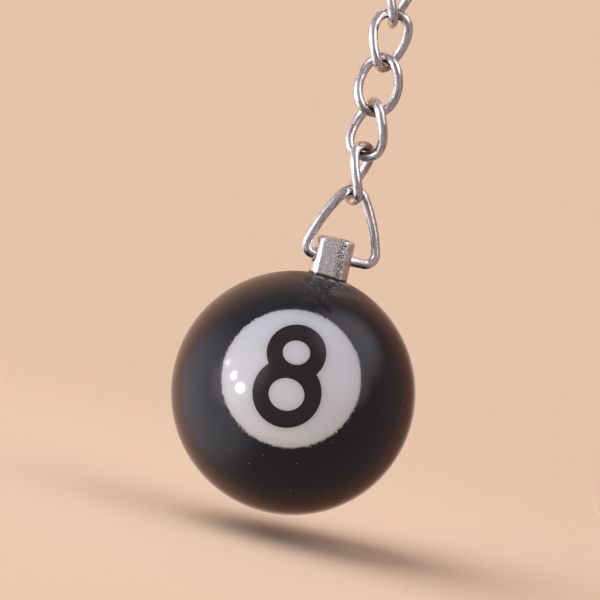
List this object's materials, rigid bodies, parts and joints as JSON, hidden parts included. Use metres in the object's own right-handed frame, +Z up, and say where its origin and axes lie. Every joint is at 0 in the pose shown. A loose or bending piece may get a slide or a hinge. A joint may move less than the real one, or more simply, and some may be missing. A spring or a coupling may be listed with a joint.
{
  "type": "numbered pool ball key chain",
  "caption": "Miniature glossy black eight ball with inlaid white number spots, hung from a split key ring by a metal post, a wire triangle and a chain of twisted oval links.",
  "frame": {"origin": "centre of the key ring, from which everything hangs", "axes": "+Z up, along the hanging chain; the numeral on the front spot faces -Y; +X is to the right of someone reading it"},
  "size_m": [0.0258, 0.025, 0.0798],
  "materials": {
    "black_resin": "polished cast resin, near-black",
    "white_resin": "polished off-white resin, flush with the ball",
    "numeral_black": "black resin, flush with the spot",
    "nickel_cast": "satin nickel plate on a slightly pitted die casting",
    "nickel_wire": "bright nickel plated steel wire",
    "nickel_band": "bright nickel plated flattened spring wire",
    "clear_glue": "cured clear epoxy"
  },
  "bodies": {
    "key_ring": {"key_ring": "nickel_band"},
    "link_5": {"chain_link_5": "nickel_wire"},
    "link_4": {"chain_link_4": "nickel_wire"},
    "link_3": {"chain_link_3": "nickel_wire"},
    "link_2": {"chain_link_2": "nickel_wire"},
    "link_1": {"chain_link_1": "nickel_wire"},
    "triangle": {"triangle_ring": "nickel_wire"},
    "ball": {"ball_body": "black_resin", "front_spot": "white_resin", "front_numeral": "numeral_black", "rear_spot": "white_resin", "rear_numeral": "numeral_black", "hanger_post": "nickel_cast", "glue_sleeve": "clear_glue"}
  },
  "joints": [
    {"name": "ring_swing", "type": "hinge", "parent": "key_ring", "child": "link_5", "pos_m": [0, 0, -0.0118], "axis": [0.9272, -0.3746, 0], "range_deg": [-60, 60]},
    {"name": "link_4_swing", "type": "hinge", "parent": "link_5", "child": "link_4", "pos_m": [0, 0, -0.01584], "axis": [-0.1219, 0.9925, 0], "range_deg": [-45, 45]},
    {"name": "link_3_swing", "type": "hinge", "parent": "link_4", "child": "link_3", "pos_m": [0, 0, -0.01936], "axis": [0.809, -0.5878, 0], "range_deg": [-45, 45]},
    {"name": "link_2_swing", "type": "hinge", "parent": "link_3", "child": "link_2", "pos_m": [0, 0, -0.02506], "axis": [-0.8829, -0.4695, 0], "range_deg": [-45, 45]},
    {"name": "link_1_swing", "type": "hinge", "parent": "link_2", "child": "link_1", "pos_m": [0, 0, -0.02858], "axis": [0.6018, 0.7986, 0], "range_deg": [-45, 45]},
    {"name": "triangle_swing", "type": "hinge", "parent": "link_1", "child": "triangle", "pos_m": [0, 0, -0.03428], "axis": [-0.454, 0.891, 0], "range_deg": [-45, 45]},
    {"name": "ball_swing", "type": "hinge", "parent": "triangle", "child": "ball", "pos_m": [0, 0, -0.04036], "axis": [0.9336, 0.3584, 0], "range_deg": [-90, 90]}
  ]
}
